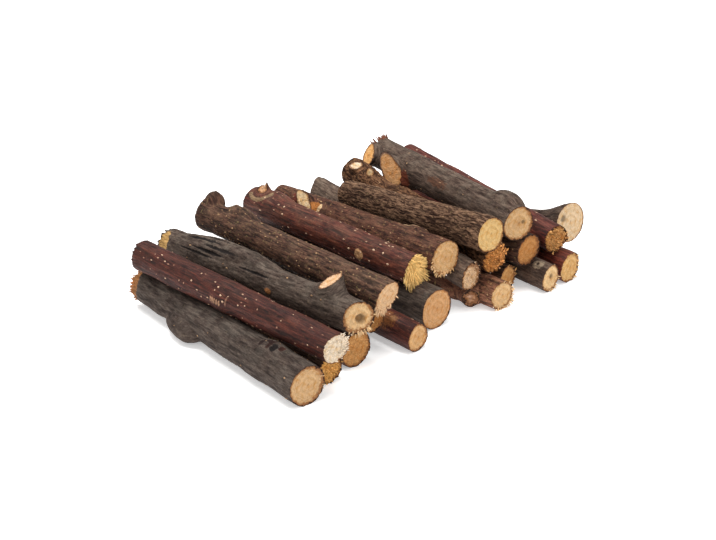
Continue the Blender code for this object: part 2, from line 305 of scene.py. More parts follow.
def tube_shells(twig, sides, rings, bark, near_cut, far_cut):
    """A twig's bark and its two saw cuts, as one closed shell."""
    chance = np.random.default_rng(twig.seed + 500)
    around = np.linspace(0, 2 * math.pi, sides, endpoint=False)
    out = twig.outward(around)
    starts = []
    for middle_along, way, looks in ((0.0, twig.near_way, near_cut), (twig.length, twig.far_way, far_cut)):
        radius = twig.radius(np.full(sides, middle_along), around)
        skew = -(out @ way) * radius / (twig.forward @ way)
        jag = chance.normal(0, looks["ragged"], sides)
        jag = 0.6 * jag + 0.4 * np.roll(jag, 1)
        starts.append((middle_along + skew, jag))
    share = np.linspace(0, 1, rings)[:, None]
    along = starts[0][0] + (starts[1][0] - starts[0][0]) * share
    step = twig.length / rings
    near_fade = np.exp(-(share * twig.length / (1.6 * step)) ** 2)
    far_fade = np.exp(-((1 - share) * twig.length / (1.6 * step)) ** 2)
    along = along + starts[0][1] * near_fade + starts[1][1] * far_fade
    round_grid = np.broadcast_to(around, along.shape)
    places = twig.on_bark(along, round_grid)
    plain = twig.plain_radius(along)
    grain = np.stack([plain * np.cos(round_grid), plain * np.sin(round_grid), along], axis=-1).reshape(-1, 3)
    faces = [grid_faces(rings, sides)]
    wood_from = len(faces[0])
    points = [places.reshape(-1, 3)]
    edges = [np.zeros(rings * sides)]
    grains = [grain]
    lies = [np.broadcast_to(twig.forward, (rings * sides, 3))]
    frays = [np.zeros(rings * sides)]
    tints = [np.tile(bark["tint"], (rings * sides, 1))]
    cut_looks = [np.tile((0.0, 0.0, 1.0), (rings * sides, 1))]
    wood_faces = []
    for end, (middle, way, looks) in enumerate(((twig.near, twig.near_way, near_cut),
                                                (twig.far, twig.far_way, far_cut))):
        rim = places[0 if end == 0 else -1]
        pith = middle + twig.aside * looks["pith"][0] + twig.above * looks["pith"][1]
        inner, cut_grain, edge, cut_look = cut_points(rim, pith, way, looks, chance, around, twig.aside,
                                                      twig.above)
        first = sum(len(block) for block in points)
        rim_index = np.arange(sides) + (0 if end == 0 else (rings - 1) * sides)
        wood_faces.append(band(rim_index, first + np.arange(sides), end == 1))
        wood_faces.append(grid_faces(len(CUT_RINGS) - 1, sides, first, end == 1))
        last = first + (len(CUT_RINGS) - 2) * sides + np.arange(sides)
        centre = first + (len(CUT_RINGS) - 1) * sides
        fan = [last, np.roll(last, -1), np.full(sides, centre)]
        wood_faces.append(np.stack(fan if end == 1 else fan[::-1], axis=-1))
        points.append(inner)
        grains.append(cut_grain + (0, 0, 40 * end))
        edges.append(edge)
        from_pith = inner - middle
        spread = np.linalg.norm(from_pith, axis=1, keepdims=True)
        radial = from_pith / np.maximum(spread, 0.01)
        turn = np.arctan2(from_pith @ twig.aside, from_pith @ twig.above)
        apart = np.abs((turn - math.radians(looks["fray_around"]) + math.pi) % (2 * math.pi) - math.pi)
        hang = math.cos(math.radians(looks["fray_around"])) * twig.above + math.sin(
            math.radians(looks["fray_around"])) * twig.aside
        lie = radial * looks["fray_fan"] + hang * 0.6 + way * looks["fray_off"]
        lies.append(lie * looks["fray_long"])
        share_in = spread[:, 0] / plain.mean()
        frays.append(looks["fray"] * np.exp(-(np.degrees(apart) / looks["fray_spread"]) ** 2)
                     * (share_in > looks["fray_from"]))
        uneven_rim = looks["rim"] * (1 + 0.5 * np.cos(turn - math.radians(looks["fray_around"])))
        edges[-1] = edge / uneven_rim
        tints.append(np.tile(linear(looks["tint"]), (len(inner), 1)))
        cut_looks.append(cut_look)
    return {
        "places": np.concatenate(points), "bark_faces": faces, "wood_faces": wood_faces,
        "grain": np.concatenate(grains), "edge": np.concatenate(edges), "lie": np.concatenate(lies),
        "fray": np.concatenate(frays), "tint": np.concatenate(tints), "cut_look": np.concatenate(cut_looks),
        "is_bark": np.arange(len(np.concatenate(points))) < rings * sides,
        "rims": np.concatenate([np.arange(sides), (rings - 1) * sides + np.arange(sides)]),
    }


def band(outer, inner, outward):
    """Faces between two closed rows of points that are given by number."""
    order = (outer, np.roll(outer, -1), np.roll(inner, -1), inner)
    if not outward:
        order = (order[1], order[0], order[3], order[2])
    return np.stack(order, axis=-1)


def stub_shell(twig, bark, chance, along, around, lean, wide, high, face_around, face_lean, reach=3.6,
               tint="#D9B98C", rim_wide=1.0, spike=0.0, spike_at=3.9, drops=()):
    """A side branch pruned off short: its collar of bark, flared out of the twig, and its oblique cut. Each
    drop draws the cut out towards one angle, and the spike is a strip of torn bark that stands at its edge."""
    sides, wall_rows, face_rows = 56, 14, 9
    root = twig.middle(np.array(along))
    radius = float(twig.plain_radius(along))
    direction = twig.outward(np.array(math.radians(around)), math.radians(lean))
    normal = twig.outward(np.array(math.radians(face_around)), math.radians(face_lean))
    first = np.cross(direction, twig.forward)
    first /= np.linalg.norm(first)
    second = np.cross(first, direction)
    turned = np.linspace(0, 2 * math.pi, sides, endpoint=False)
    ray = first * np.cos(turned)[:, None] + second * np.sin(turned)[:, None]
    top = wide / 2 * (1 + waves(chance, 4, 0.04, 0, turned, 10, 20))
    for drop_at, share in drops:
        top = top * (1 + share * np.exp(-((turned - drop_at) / 0.55) ** 2))
    cut_point = root + direction * (radius + high)
    height = ((cut_point - root) @ normal - 1.05 * top * (ray @ normal)) / (direction @ normal)
    rim = root + direction * height[:, None] + ray * (top * 1.05)[:, None]
    rim = rim + normal * chance.normal(0, 0.10, sides)[:, None]
    rim = rim + ray * chance.normal(0, 0.08, sides)[:, None]
    rim = rim + direction * (spike * np.exp(-((turned - spike_at) / 0.16) ** 2))[:, None]
    flare = reach * (1 + waves(chance, 3, 0.15, 0, turned, 10, 20))
    low = root + direction * (radius * 0.9) + ray * (top + flare)[:, None]
    base = twig.on_bark(*twig.locate(low), sunk=0.35)
    knee_out = root + direction * (radius * 0.95) + ray * (top * 1.05 + 0.25 * reach)[:, None]
    knee = twig.on_bark(*twig.locate(knee_out)) + direction * 0.25
    step = np.linspace(0, 1, wall_rows)[:, None, None]
    wall = rim * (1 - step) ** 2 + knee * 2 * step * (1 - step) + base * step ** 2
    middle = rim.mean(axis=0)
    inner_share = np.linspace(1, 0, face_rows + 1)[1:-1][:, None, None]
    face = middle + (rim - middle) * inner_share
    face = face + normal * (0.08 * chance.normal(0, 1, face.shape[:2]))[..., None]
    points = np.concatenate([wall.reshape(-1, 3), face.reshape(-1, 3), [middle]])
    wall_count, face_count = wall_rows * sides, (face_rows - 1) * sides + 1
    run = np.linalg.norm(wall - rim, axis=2)
    away = top + run * 0.6
    grain_wall = np.stack([run, away * np.cos(turned) * 0.25, away * np.sin(turned)], axis=-1).reshape(-1, 3)
    flat = points[wall_count:] - middle
    wide_way = first - normal * (first @ normal)
    wide_way /= np.linalg.norm(wide_way)
    long_way = np.cross(normal, wide_way)
    grain_face = np.column_stack([flat @ wide_way, flat @ long_way * 0.8, np.full(face_count, 70.0)])
    depth = np.linalg.norm(rim - middle, axis=1)
    edge_face = np.concatenate([((1 - inner_share[..., 0]) * depth).ravel(), [depth.mean()]])
    centre = wall_count + face_count - 1
    last = centre - sides + np.arange(sides)
    fan = np.stack([last, np.roll(last, -1), np.full(sides, centre)], axis=-1)
    count = len(points)
    return {
        "places": points,
        "bark_faces": [grid_faces(wall_rows, sides, 0, False)],
        "wood_faces": [band(np.arange(sides), wall_count + np.arange(sides), True),
                       grid_faces(face_rows - 1, sides, wall_count, True), fan],
        "grain": np.concatenate([grain_wall, grain_face]),
        "edge": np.concatenate([np.zeros(wall_count), edge_face / rim_wide]),
        "lie": np.broadcast_to(twig.forward, (count, 3)),
        "fray": np.zeros(count),
        "tint": np.concatenate([np.tile(bark["tint"], (wall_count, 1)),
                                np.tile(linear(tint), (face_count, 1))]),
        "cut_look": np.tile((0.0, 0.6, 1.0), (count, 1)),
        "is_bark": np.arange(count) < wall_count,
        "rims": np.arange(sides),
    }


def group_tree(name, sizes):
    """A Geometry Nodes tree with named inputs, and the outputs of its Group Input by name."""
    tree = bpy.data.node_groups.new(name, "GeometryNodeTree")
    tree.interface.new_socket("Geometry", in_out="INPUT", socket_type="NodeSocketGeometry")
    tree.interface.new_socket("Geometry", in_out="OUTPUT", socket_type="NodeSocketGeometry")
    for size_name, socket_type in sizes.items():
        tree.interface.new_socket(size_name, in_out="INPUT", socket_type=socket_type)
    entry = tree.nodes.new("NodeGroupInput")
    return tree, entry.outputs


def relief_tree():
    """Raises wandering ridges that run along the grain of the bark, and keeps how high each point is."""
    tree, given = group_tree("bark_ridges", {
        "Ridge Height": "NodeSocketFloat", "Ridge Width": "NodeSocketFloat", "Ridge Length": "NodeSocketFloat",
        "Wander": "NodeSocketFloat", "Fine Height": "NodeSocketFloat", "Sharpness": "NodeSocketFloat",
        "Seed": "NodeSocketFloat"})
    grain = add(tree, "GeometryNodeInputNamedAttribute", {"Name": "grain"}, data_type="FLOAT_VECTOR")
    relief = add(tree, "GeometryNodeInputNamedAttribute", {"Name": "relief"}, data_type="FLOAT")
    bend = add(tree, "ShaderNodeTexNoise", {"Vector": grain, "W": given["Seed"], "Scale": 0.22,
                                            "Detail": 1.0}, out=1, noise_dimensions="4D")
    centred = add(tree, "ShaderNodeVectorMath", {0: bend, 1: (0.5, 0.5, 0.5)}, operation="SUBTRACT")
    shift = add(tree, "ShaderNodeVectorMath", {0: centred, "Scale": given["Wander"]}, operation="SCALE")
    wandered = add(tree, "ShaderNodeVectorMath", {0: grain, 1: shift}, operation="ADD")
    across = add(tree, "ShaderNodeMath", {0: 1.0, 1: given["Ridge Width"]}, operation="DIVIDE")
    along = add(tree, "ShaderNodeMath", {0: 1.0, 1: given["Ridge Length"]}, operation="DIVIDE")
    rates = add(tree, "ShaderNodeCombineXYZ", {0: across, 1: across, 2: along})
    stretched = add(tree, "ShaderNodeVectorMath", {0: wandered, 1: rates}, operation="MULTIPLY")
    noise = add(tree, "ShaderNodeTexNoise", {"Vector": stretched, "W": given["Seed"], "Scale": 0.5,
                                             "Detail": 1.5, "Roughness": 0.5}, noise_dimensions="4D")
    folded = add(tree, "ShaderNodeMath", {0: noise, 1: 0.5}, operation="SUBTRACT")
    folded = add(tree, "ShaderNodeMath", {0: folded}, operation="ABSOLUTE")
    ridge = add(tree, "ShaderNodeMapRange", {"Value": folded, "From Min": 0.0, "From Max": 0.16,
                                             "To Min": 1.0, "To Max": 0.0})
    ridge = add(tree, "ShaderNodeMath", {0: ridge, 1: given["Sharpness"]}, operation="POWER")
    fine = add(tree, "ShaderNodeTexNoise", {"Vector": stretched, "W": given["Seed"], "Scale": 1.7,
                                            "Detail": 1.0}, noise_dimensions="4D")
    ridge_up = add(tree, "ShaderNodeMath", {0: ridge, 1: 0.4}, operation="SUBTRACT")
    ridge_up = add(tree, "ShaderNodeMath", {0: ridge_up, 1: given["Ridge Height"]}, operation="MULTIPLY")
    fine_up = add(tree, "ShaderNodeMath", {0: fine, 1: 0.5}, operation="SUBTRACT")
    total = add(tree, "ShaderNodeMath", {0: fine_up, 1: given["Fine Height"], 2: ridge_up},
                operation="MULTIPLY_ADD")
    total = add(tree, "ShaderNodeMath", {0: total, 1: relief}, operation="MULTIPLY")
    metres = add(tree, "ShaderNodeMath", {0: total, 1: MM}, operation="MULTIPLY")
    normal = add(tree, "GeometryNodeInputNormal")
    offset = add(tree, "ShaderNodeVectorMath", {0: normal, "Scale": metres}, operation="SCALE")
    kept = add(tree, "GeometryNodeStoreNamedAttribute", {"Geometry": given["Geometry"], "Name": "ridge",
                                                         "Value": ridge}, data_type="FLOAT", domain="POINT")
    moved = add(tree, "GeometryNodeSetPosition", {"Geometry": kept, "Offset": offset})
    add(tree, "NodeGroupOutput", {"Geometry": moved})
    return tree


def pore_tree():
    """Scatters low lens-shaped cork pores over the bark, lying along the twig."""
    tree, given = group_tree("bark_pores", {
        "Pores per cm2": "NodeSocketFloat", "Least Spacing": "NodeSocketFloat", "Pore Size": "NodeSocketFloat",
        "Seed": "NodeSocketInt", "Pore Material": "NodeSocketMaterial"})
    share = add(tree, "GeometryNodeInputNamedAttribute", {"Name": "pores"}, data_type="FLOAT")
    lie = add(tree, "GeometryNodeInputNamedAttribute", {"Name": "lie"}, data_type="FLOAT_VECTOR")
    density = add(tree, "ShaderNodeMath", {0: given["Pores per cm2"], 1: 10000.0}, operation="MULTIPLY")
    spacing = add(tree, "ShaderNodeMath", {0: given["Least Spacing"], 1: MM}, operation="MULTIPLY")
    scatter = tree.nodes.new("GeometryNodeDistributePointsOnFaces")
    scatter.distribute_method = "POISSON"
    for socket, value in (("Mesh", given["Geometry"]), ("Distance Min", spacing), ("Density Max", density),
                          ("Density Factor", share), ("Seed", given["Seed"])):
        tree.links.new(value, scatter.inputs[socket])
    turned = add(tree, "FunctionNodeAlignRotationToVector", {"Rotation": scatter.outputs["Rotation"],
                                                             "Vector": lie}, axis="X", pivot_axis="Z")
    lens = add(tree, "GeometryNodeMeshIcoSphere", {"Radius": 0.5 * MM, "Subdivisions": 1})
    lens = add(tree, "GeometryNodeTransform", {"Geometry": lens, "Scale": (1.0, 0.72, 0.30)})
    lens = add(tree, "GeometryNodeSetShadeSmooth", {"Geometry": lens})
    scale = add(tree, "FunctionNodeRandomValue", {"Min": (0.55, 0.55, 0.6), "Max": (1.35, 1.25, 1.1),
                                                  "Seed": given["Seed"]}, data_type="FLOAT_VECTOR")
    scale = add(tree, "ShaderNodeVectorMath", {0: scale, "Scale": given["Pore Size"]}, operation="SCALE")
    placed = add(tree, "GeometryNodeInstanceOnPoints", {"Points": scatter.outputs["Points"], "Instance": lens,
                                                        "Rotation": turned, "Scale": scale})
    real = add(tree, "GeometryNodeRealizeInstances", {"Geometry": placed})
    corked = add(tree, "GeometryNodeSetMaterial", {"Geometry": real, "Material": given["Pore Material"]})
    joined = add(tree, "GeometryNodeJoinGeometry", {"Geometry": corked})
    tree.links.new(given["Geometry"], joined.node.inputs["Geometry"])
    add(tree, "NodeGroupOutput", {"Geometry": joined})
    return tree


def fibre_tree():
    """Sets torn wood fibres on the saw cuts, each lying the way that the saw pulled it."""
    tree, given = group_tree("torn_fibres", {
        "Fibres per cm2": "NodeSocketFloat", "Fibre Width": "NodeSocketFloat", "Stray": "NodeSocketFloat",
        "Seed": "NodeSocketInt", "Fibre Material": "NodeSocketMaterial"})
    share = add(tree, "GeometryNodeInputNamedAttribute", {"Name": "fray"}, data_type="FLOAT")
    lie = add(tree, "GeometryNodeInputNamedAttribute", {"Name": "lie"}, data_type="FLOAT_VECTOR")
    density = add(tree, "ShaderNodeMath", {0: given["Fibres per cm2"], 1: 10000.0}, operation="MULTIPLY")
    density = add(tree, "ShaderNodeMath", {0: density, 1: share}, operation="MULTIPLY")
    points = add(tree, "GeometryNodeDistributePointsOnFaces", {"Mesh": given["Geometry"], "Density": density,
                                                               "Seed": given["Seed"]})
    stray_low = add(tree, "ShaderNodeMath", {0: given["Stray"], 1: -1.0}, operation="MULTIPLY")
    low = add(tree, "ShaderNodeCombineXYZ", {0: stray_low, 1: stray_low, 2: stray_low})
    high = add(tree, "ShaderNodeCombineXYZ", {0: given["Stray"], 1: given["Stray"], 2: given["Stray"]})
    stray = add(tree, "FunctionNodeRandomValue", {"Min": low, "Max": high, "Seed": given["Seed"]},
                data_type="FLOAT_VECTOR")
    way = add(tree, "ShaderNodeVectorMath", {0: lie, 1: stray}, operation="ADD")
    turned = add(tree, "FunctionNodeAlignRotationToVector", {"Vector": way}, axis="Z")
    long = add(tree, "ShaderNodeVectorMath", {0: lie}, out=1, operation="LENGTH")
    grown = add(tree, "FunctionNodeRandomValue", {"Min": 0.45, "Max": 1.5, "Seed": given["Seed"]}, out=1,
                data_type="FLOAT")
    long = add(tree, "ShaderNodeMath", {0: long, 1: grown}, operation="MULTIPLY")
    scale = add(tree, "ShaderNodeCombineXYZ", {0: given["Fibre Width"], 1: given["Fibre Width"], 2: long})
    spike = add(tree, "GeometryNodeMeshCone", {"Vertices": 4, "Radius Top": 0.15 * MM, "Radius Bottom": 0.42
                                               * MM, "Depth": 1.0 * MM})
    placed = add(tree, "GeometryNodeInstanceOnPoints", {"Points": points, "Instance": spike,
                                                        "Rotation": turned, "Scale": scale})
    real = add(tree, "GeometryNodeRealizeInstances", {"Geometry": placed})
    fibrous = add(tree, "GeometryNodeSetMaterial", {"Geometry": real, "Material": given["Fibre Material"]})
    joined = add(tree, "GeometryNodeJoinGeometry", {"Geometry": fibrous})
    tree.links.new(given["Geometry"], joined.node.inputs["Geometry"])
    add(tree, "NodeGroupOutput", {"Geometry": joined})
    return tree


bark_ridges = relief_tree()
bark_pores = pore_tree()
torn_fibres = fibre_tree()


def put_modifier(piece, tree, sizes):
    """Add a Geometry Nodes modifier and set its named inputs."""
    modifier = piece.modifiers.new(tree.name, "NODES")
    modifier.node_group = tree
    for size_name, value in sizes.items():
        modifier[tree.interface.items_tree[size_name].identifier] = value


LEAST_HEIGHT_MM = 0.02   # bark that would sink into the ground is pressed flat on it


def as_piece(name, shells, materials, modifiers):
    """One finished mesh from the shells of a twig, with its relief, pores and fibres."""
    places, faces, slots, values, rims = [], [], [], {}, []
    count = 0
    for part in shells:
        for key, slot_number in (("bark_faces", 0), ("wood_faces", 1)):
            for block in part[key]:
                faces += (block + count).tolist()
                slots += [slot_number] * len(block)
        places.append(part["places"])
        rims.append(part["rims"] + count)
        count += len(part["places"])
    mesh = bpy.data.meshes.new(name)
    mesh.from_pydata((np.concatenate(places) * MM).tolist(), [], faces)
    mesh.polygons.foreach_set("material_index", slots)
    mesh.shade_smooth()
    for material in materials:
        mesh.materials.append(material)
    widths = {"grain": "FLOAT_VECTOR", "lie": "FLOAT_VECTOR", "cut_look": "FLOAT_VECTOR",
              "tint": "FLOAT_COLOR", "patch": "FLOAT_COLOR"}
    for key in ("grain", "lie", "cut_look", "tint", "patch", "edge", "fray", "pores", "relief", "weather"):
        block = np.concatenate([part[key] for part in shells]).astype(np.float32)
        kind = widths.get(key, "FLOAT")
        attribute = mesh.attributes.new(key, kind, "POINT")
        attribute.data.foreach_set({"FLOAT_VECTOR": "vector", "FLOAT_COLOR": "color", "FLOAT": "value"}[kind],
                                   block.ravel())
    ends = np.empty(len(mesh.edges) * 2, int)
    mesh.edges.foreach_get("vertices", ends)
    on_rim = np.zeros(count, bool)
    on_rim[np.concatenate(rims)] = True
    sharp = on_rim[ends[0::2]] & on_rim[ends[1::2]]
    mesh.attributes.new("sharp_edge", "BOOLEAN", "EDGE").data.foreach_set("value", sharp)
    carrier = bpy.data.objects.new(name + "_raw", mesh)
    bpy.context.scene.collection.objects.link(carrier)
    for tree, sizes in modifiers:
        put_modifier(carrier, tree, sizes)
    seen = carrier.evaluated_get(bpy.context.evaluated_depsgraph_get())
    finished = bpy.data.meshes.new_from_object(seen)
    finished.name = name
    corners = read(finished.vertices, "co", 3)
    corners[:, 2] = np.maximum(corners[:, 2], LEAST_HEIGHT_MM * MM)
    finished.vertices.foreach_set("co", corners.ravel())
    bpy.data.objects.remove(carrier, do_unlink=True)
    bpy.data.meshes.remove(mesh)
    piece = bpy.data.objects.new(name, finished)
    bpy.context.scene.collection.objects.link(piece)
    return piece


def sawn_wood_material():
    """Fruitwood end grain left by a saw: pale wood with faint year rings, rubbed rough and pitted, and at the
    edge a brown line of inner bark, of uneven width, inside the dark outer bark."""
    material, tree, shader = new_material("sawn_fruitwood_end_grain", roughness=0.88, specular=0.2)
    grain = add(tree, "ShaderNodeAttribute", out="Vector", attribute_name="grain")
    tint = add(tree, "ShaderNodeAttribute", out="Color", attribute_name="tint")
    cut_look = add(tree, "ShaderNodeAttribute", out="Vector", attribute_name="cut_look")
    looks = add(tree, "ShaderNodeSeparateXYZ", {0: cut_look}).node.outputs
    heart, coarse, shade = looks[0], looks[1], looks[2]
    edge = add(tree, "ShaderNodeAttribute", out="Fac", attribute_name="edge")
    # Rings are about 1.3 mm apart and wander by as much.
    wander = add(tree, "ShaderNodeTexNoise", {"Vector": grain, "Scale": 0.30, "Detail": 2.0})
    flat = add(tree, "ShaderNodeVectorMath", {0: grain, 1: (1.0, 1.0, 0.0)}, operation="MULTIPLY")
    from_pith = add(tree, "ShaderNodeVectorMath", {0: flat}, out=1, operation="LENGTH")
    wandered = add(tree, "ShaderNodeMath", {0: wander, 1: 3.4, 2: from_pith}, operation="MULTIPLY_ADD")
    rings = add(tree, "ShaderNodeTexNoise", {"W": wandered, "Scale": 0.9, "Detail": 2.0, "Roughness": 0.6},
                noise_dimensions="1D")
    ring_line = add(tree, "ShaderNodeMapRange", {"Value": rings, "From Min": 0.40, "From Max": 0.62,
                                                 "To Min": 0.90, "To Max": 0.72})
    scratched = add(tree, "ShaderNodeVectorMath", {0: grain, 1: (2.6, 0.7, 1.0)}, operation="MULTIPLY")
    scratches = add(tree, "ShaderNodeTexNoise", {"Vector": scratched, "Scale": 1.0, "Detail": 2.0})
    scratch_line = add(tree, "ShaderNodeMapRange", {"Value": scratches, "From Min": 0.3, "From Max": 0.7,
                                                    "To Min": 0.86, "To Max": 1.10})
    specks = add(tree, "ShaderNodeTexNoise", {"Vector": grain, "Scale": 1.7, "Detail": 3.0, "Roughness": 0.7})
    pit = add(tree, "ShaderNodeMapRange", {"Value": specks, "From Min": 0.47, "From Max": 0.34, "To Min": 0.0,
                                           "To Max": 0.62})
    pit = add(tree, "ShaderNodeMath", {0: pit, 1: coarse}, operation="MULTIPLY")
    tone = add(tree, "ShaderNodeMath", {0: ring_line, 1: scratch_line}, operation="MULTIPLY")
    tone = add(tree, "ShaderNodeMath", {0: tone, 1: shade}, operation="MULTIPLY")
    toned = add(tree, "ShaderNodeVectorMath", {0: tint, "Scale": tone}, operation="SCALE")
    patches = add(tree, "ShaderNodeTexNoise", {"Vector": grain, "Scale": 0.42, "Detail": 3.0,
                                               "Roughness": 0.6})
    warm_share = add(tree, "ShaderNodeMapRange", {"Value": patches, "From Min": 0.46, "From Max": 0.68})
    warm = add(tree, "ShaderNodeVectorMath", {0: toned, 1: (0.86, 0.68, 0.44)}, operation="MULTIPLY")
    toned = add(tree, "ShaderNodeMix", {0: warm_share, 6: toned, 7: warm}, out=2, data_type="RGBA")
    pitted = add(tree, "ShaderNodeVectorMath", {0: toned, 1: (0.46, 0.30, 0.17)}, operation="MULTIPLY")
    toned = add(tree, "ShaderNodeMix", {0: pit, 6: toned, 7: pitted}, out=2, data_type="RGBA")
    heart_share = add(tree, "ShaderNodeMapRange", {"Value": wandered, "From Min": 5.2, "From Max": 2.6,
                                                   "To Min": 0.0, "To Max": 1.0})
    heart_share = add(tree, "ShaderNodeMath", {0: heart_share, 1: heart}, operation="MULTIPLY")
    darker = add(tree, "ShaderNodeVectorMath", {0: toned, 1: (0.58, 0.44, 0.32)}, operation="MULTIPLY")
    hearted = add(tree, "ShaderNodeMix", {0: heart_share, 6: toned, 7: darker}, out=2, data_type="RGBA")
    pith_share = add(tree, "ShaderNodeMapRange", {"Value": from_pith, "From Min": 0.70, "From Max": 0.40,
                                                  "To Min": 0.0, "To Max": 0.35})
    pithed = add(tree, "ShaderNodeMix", {0: pith_share, 6: hearted, 7: linear("#7A5232")}, out=2,
                 data_type="RGBA")
    # The rim: outer bark to about 0.4 mm, inner bark to about 1 mm, then wood.
    jitter = add(tree, "ShaderNodeTexNoise", {"Vector": grain, "Scale": 0.55, "Detail": 3.0,
                                              "Roughness": 0.7})
    edge_at = add(tree, "ShaderNodeMath", {0: jitter, 1: 0.5}, operation="SUBTRACT")
    edge_at = add(tree, "ShaderNodeMath", {0: edge_at, 1: 3.0, 2: edge}, operation="MULTIPLY_ADD")
    inner_share = add(tree, "ShaderNodeMapRange", {"Value": edge_at, "From Min": 1.45, "From Max": 0.85,
                                                   "To Min": 0.0, "To Max": 0.85})
    inner = add(tree, "ShaderNodeMix", {0: inner_share, 6: pithed, 7: linear("#80502C")}, out=2,
                data_type="RGBA")
    outer_share = add(tree, "ShaderNodeMapRange", {"Value": edge_at, "From Min": 0.55, "From Max": 0.20,
                                                   "To Min": 0.0, "To Max": 1.0})
    outer = add(tree, "ShaderNodeMix", {0: outer_share, 6: inner, 7: linear("#2E1C14")}, out=2,
                data_type="RGBA")
    tree.links.new(outer, shader.inputs["Base Color"])
    height = add(tree, "ShaderNodeMath", {0: scratches, 1: 0.6, 2: specks}, operation="MULTIPLY_ADD")
    height = add(tree, "ShaderNodeMath", {0: pit, 1: -0.8, 2: height}, operation="MULTIPLY_ADD")
    bump = add(tree, "ShaderNodeBump", {"Strength": 0.9, "Distance": 0.30 * MM, "Height": height})
    tree.links.new(bump, shader.inputs["Normal"])
    return material


def fibre_material():
    """Wood fibre torn up by the saw: dry and dull, each strand a little lighter or darker than the next."""
    material, tree, shader = new_material("torn_fruitwood_fibre", roughness=0.8, specular=0.3)
    grain = add(tree, "ShaderNodeAttribute", out="Vector", attribute_name="grain")
    tint = add(tree, "ShaderNodeAttribute", out="Color", attribute_name="tint")
    noise = add(tree, "ShaderNodeTexNoise", {"Vector": grain, "Scale": 3.0, "Detail": 1.0})
    tone = add(tree, "ShaderNodeMapRange", {"Value": noise, "From Min": 0.3, "From Max": 0.7, "To Min": 0.48,
                                            "To Max": 1.22})
    toned = add(tree, "ShaderNodeVectorMath", {0: tint, "Scale": tone}, operation="SCALE")
    tree.links.new(toned, shader.inputs["Base Color"])
    return material


def pore_material(name, browner, paler):
    """Bark pores of dry cork, some of them greyer or browner."""
    material, tree, shader = new_material(name, roughness=0.9, specular=0.2)
    grain = add(tree, "ShaderNodeAttribute", out="Vector", attribute_name="grain")
    noise = add(tree, "ShaderNodeTexNoise", {"Vector": grain, "Scale": 0.9, "Detail": 1.0})
    share = add(tree, "ShaderNodeMapRange", {"Value": noise, "From Min": 0.35, "From Max": 0.65,
                                             "To Min": 0.0, "To Max": 1.0})
    colour = add(tree, "ShaderNodeMix", {0: share, 6: linear(browner), 7: linear(paler)}, out=2,
                 data_type="RGBA")
    tree.links.new(colour, shader.inputs["Base Color"])
    return material


